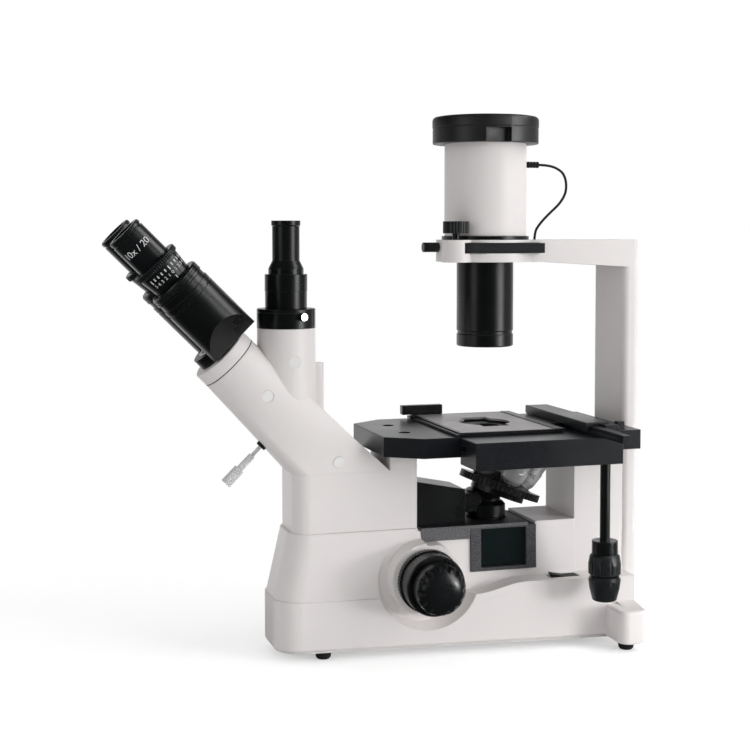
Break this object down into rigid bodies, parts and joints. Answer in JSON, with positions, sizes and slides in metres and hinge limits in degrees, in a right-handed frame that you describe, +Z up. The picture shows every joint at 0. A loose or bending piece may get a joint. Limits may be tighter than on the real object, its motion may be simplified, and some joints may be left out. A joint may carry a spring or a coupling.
{
  "type": "inverted microscope",
  "caption": "Upright lab stand with a tilted binocular head, a camera tube, a turret under a cross-travel stage and a lamp on an arm above.",
  "frame": {"origin": "middle of the footprint at the underside of the feet", "axes": "+Z up, the operator sits at -Y, +X is the operator's right"},
  "size_m": [0.2545, 0.499, 0.4929],
  "materials": {
    "white_paint": "satin, slightly warm",
    "black_paint": "fine matt texture",
    "wrinkle_grey": "wrinkle finish",
    "black_plastic": "moulded, satin",
    "dark_pane": "dark, polished",
    "light_plate": "bead blasted, anodised",
    "chrome": "polished",
    "steel": "machined",
    "objective_metal": "satin chrome with black bands",
    "glass": "polished",
    "mirror": "first-surface mirror",
    "rubber": "matt",
    "lead_rubber": "satin"
  },
  "bodies": {
    "stand": {"base_casting": "white_paint", "base_plate": "steel", "rubber_feet": "rubber", "arm_casting": "white_paint", "deck_cover": "wrinkle_grey", "window_frame": "wrinkle_grey", "window_pane": "dark_pane", "lower_mirror": "mirror", "carriage_cover": "black_paint", "power_supply": "black_plastic", "power_inlet": "black_plastic", "head_casting": "white_paint", "plugs_and_screws": "steel", "clamp_ring": "black_paint", "photo_tube": "black_paint", "hinge_hub": "white_paint", "stage_plate": "black_paint", "stage_insert": "light_plate", "condenser_barrel": "black_paint", "condenser_lens": "glass", "lamp_flange": "black_paint", "lamp_house": "white_paint", "lamp_bulb": "glass", "strain_relief": "rubber", "lamp_lead": "lead_rubber"},
    "right_eye_tube": {"right_tube_housing": "black_paint"},
    "left_eye_tube": {"left_tube_housing": "black_paint"},
    "right_dioptre": {"right_dioptre_ring": "black_plastic"},
    "left_dioptre": {"left_dioptre_ring": "black_plastic"},
    "right_ocular": {"right_eyepiece": "black_plastic"},
    "left_ocular": {"left_eyepiece": "black_plastic"},
    "beam_splitter": {"beam_rod": "chrome", "beam_prism": "glass"},
    "tube_clamp": {"clamp_screw": "chrome"},
    "coarse_drive": {"right_coarse_knob": "black_plastic", "left_coarse_knob": "black_plastic"},
    "fine_drive": {"right_fine_knob": "black_plastic", "left_fine_knob": "black_plastic"},
    "focus_slide": {"focus_carriage": "black_paint"},
    "nosepiece": {"nosepiece_carrier": "black_paint"},
    "turret_group": {"turret": "black_paint", "objective_10x": "objective_metal", "objective_4x": "objective_metal", "objective_40x": "objective_metal", "objective_20x": "objective_metal"},
    "stage_cross": {"y_carriage": "black_paint", "x_guide_bar": "black_paint", "knob_stem": "black_paint"},
    "specimen_slide": {"x_rack": "black_paint", "specimen_holder": "black_paint", "holder_plate": "light_plate"},
    "dish_clamp": {"holder_clamp": "black_plastic"},
    "stage_y_knob": {"y_knob": "black_plastic"},
    "stage_x_knob": {"x_knob": "black_plastic"},
    "filter": {"filter_slider": "black_paint"},
    "filter_clamp": {"condenser_clamp": "black_plastic"},
    "iris": {"iris_knob": "black_plastic"},
    "cap": {"lamp_cap": "black_paint"},
    "switch": {"rocker_switch": "black_plastic"},
    "dial": {"brightness_dial": "black_plastic"}
  },
  "joints": [
    {"name": "right_eye_swing", "type": "hinge", "parent": "stand", "child": "right_eye_tube", "pos_m": [-0.0248, -0.1413, 0.2683], "axis": [0, -0.7071, 0.7071], "range_deg": [-10, 15]},
    {"name": "left_eye_swing", "type": "hinge", "parent": "stand", "child": "left_eye_tube", "pos_m": [-0.0248, -0.1413, 0.2683], "axis": [0, -0.7071, 0.7071], "range_deg": [-15, 10]},
    {"name": "right_dioptre_turn", "type": "hinge", "parent": "right_eye_tube", "child": "right_dioptre", "pos_m": [0.0072, -0.13128, 0.27832], "axis": [0, -0.7071, 0.7071], "range_deg": [-151, 151]},
    {"name": "left_dioptre_turn", "type": "hinge", "parent": "left_eye_tube", "child": "left_dioptre", "pos_m": [-0.0568, -0.13128, 0.27832], "axis": [0, -0.7071, 0.7071], "range_deg": [-151, 151]},
    {"name": "right_eyepiece_slide", "type": "slide", "parent": "right_eye_tube", "child": "right_ocular", "axis": [0, -0.7071, 0.7071], "range_m": [-0.003, 0.003]},
    {"name": "left_eyepiece_slide", "type": "slide", "parent": "left_eye_tube", "child": "left_ocular", "axis": [0, -0.7071, 0.7071], "range_m": [-0.003, 0.003]},
    {"name": "beam_splitter_slide", "type": "slide", "parent": "stand", "child": "beam_splitter", "axis": [0, 0.7071, 0.7071], "range_m": [0, 0.012]},
    {"name": "tube_clamp_turn", "type": "hinge", "parent": "stand", "child": "tube_clamp", "pos_m": [-0.0248, -0.0883, 0.3095], "axis": [0.9511, 0.309, 0], "range_deg": [-180, 180]},
    {"name": "coarse_focus", "type": "slide", "parent": "stand", "child": "focus_slide", "axis": [0, 0, 1], "range_m": [-0.007, 0.002]},
    {"name": "coarse_turn", "type": "hinge", "parent": "stand", "child": "coarse_drive", "pos_m": [-0.0248, 0.0295, 0.0706], "axis": [1, 0, 0], "range_deg": [-58, 17]},
    {"name": "fine_turn", "type": "hinge", "parent": "stand", "child": "fine_drive", "pos_m": [-0.0248, 0.0295, 0.0706], "axis": [1, 0, 0], "range_deg": [-901, 901]},
    {"name": "fine_focus", "type": "slide", "parent": "focus_slide", "child": "nosepiece", "axis": [0, 0, 1], "range_m": [-0.0005, 0.0005]},
    {"name": "turret_turn", "type": "hinge", "parent": "nosepiece", "child": "turret_group", "pos_m": [-0.0248, 0.1047, 0.1017], "axis": [0, 0.3502, 0.9367], "continuous": true},
    {"name": "stage_y", "type": "slide", "parent": "stand", "child": "stage_cross", "axis": [0, 1, 0], "range_m": [-0.045, 0.02]},
    {"name": "stage_x", "type": "slide", "parent": "stage_cross", "child": "specimen_slide", "axis": [1, 0, 0], "range_m": [-0.038, 0.038]},
    {"name": "y_knob_turn", "type": "hinge", "parent": "stage_cross", "child": "stage_y_knob", "pos_m": [0.0658, 0.1871, 0.082], "axis": [0, 0, 1], "range_deg": [-369, 164]},
    {"name": "x_knob_turn", "type": "hinge", "parent": "stage_cross", "child": "stage_x_knob", "pos_m": [0.0658, 0.1871, 0.061], "axis": [0, 0, 1], "range_deg": [-363, 363]},
    {"name": "dish_clamp_swing", "type": "hinge", "parent": "specimen_slide", "child": "dish_clamp", "pos_m": [-0.0953, 0.0807, 0.21], "axis": [0, 0, 1], "range_deg": [-30, 0]},
    {"name": "filter_slide", "type": "slide", "parent": "stand", "child": "filter", "axis": [1, 0, 0], "range_m": [0, 0.06]},
    {"name": "filter_clamp_turn", "type": "hinge", "parent": "stand", "child": "filter_clamp", "pos_m": [-0.0248, 0.0507, 0.371], "axis": [0, -1, 0], "range_deg": [-180, 180]},
    {"name": "iris_turn", "type": "hinge", "parent": "stand", "child": "iris", "pos_m": [0.0072, 0.0637, 0.3895], "axis": [0, 0, 1], "range_deg": [-135, 135]},
    {"name": "cap_lift", "type": "slide", "parent": "stand", "child": "cap", "axis": [0, 0, 1], "range_m": [0, 0.03]},
    {"name": "switch_rock", "type": "hinge", "parent": "stand", "child": "switch", "pos_m": [0.0212, 0.1664, 0.0595], "axis": [1, 0, 0], "range_deg": [0, 12]},
    {"name": "dial_turn", "type": "hinge", "parent": "stand", "child": "dial", "pos_m": [-0.0868, 0.1647, 0.036], "axis": [-1, 0, 0], "range_deg": [0, 270]}
  ],
  "couplings": [
    {"joint": "left_eye_swing", "follows": "right_eye_swing", "ratio": -1},
    {"joint": "right_dioptre_turn", "follows": "right_eyepiece_slide", "rad_per_m": 872.66},
    {"joint": "left_dioptre_turn", "follows": "left_eyepiece_slide", "rad_per_m": 872.66},
    {"joint": "coarse_turn", "follows": "coarse_focus", "rad_per_m": 142.86},
    {"joint": "fine_turn", "follows": "fine_focus", "rad_per_m": 31416},
    {"joint": "y_knob_turn", "follows": "stage_y", "rad_per_m": 142.86},
    {"joint": "x_knob_turn", "follows": "stage_x", "rad_per_m": 166.67}
  ]
}
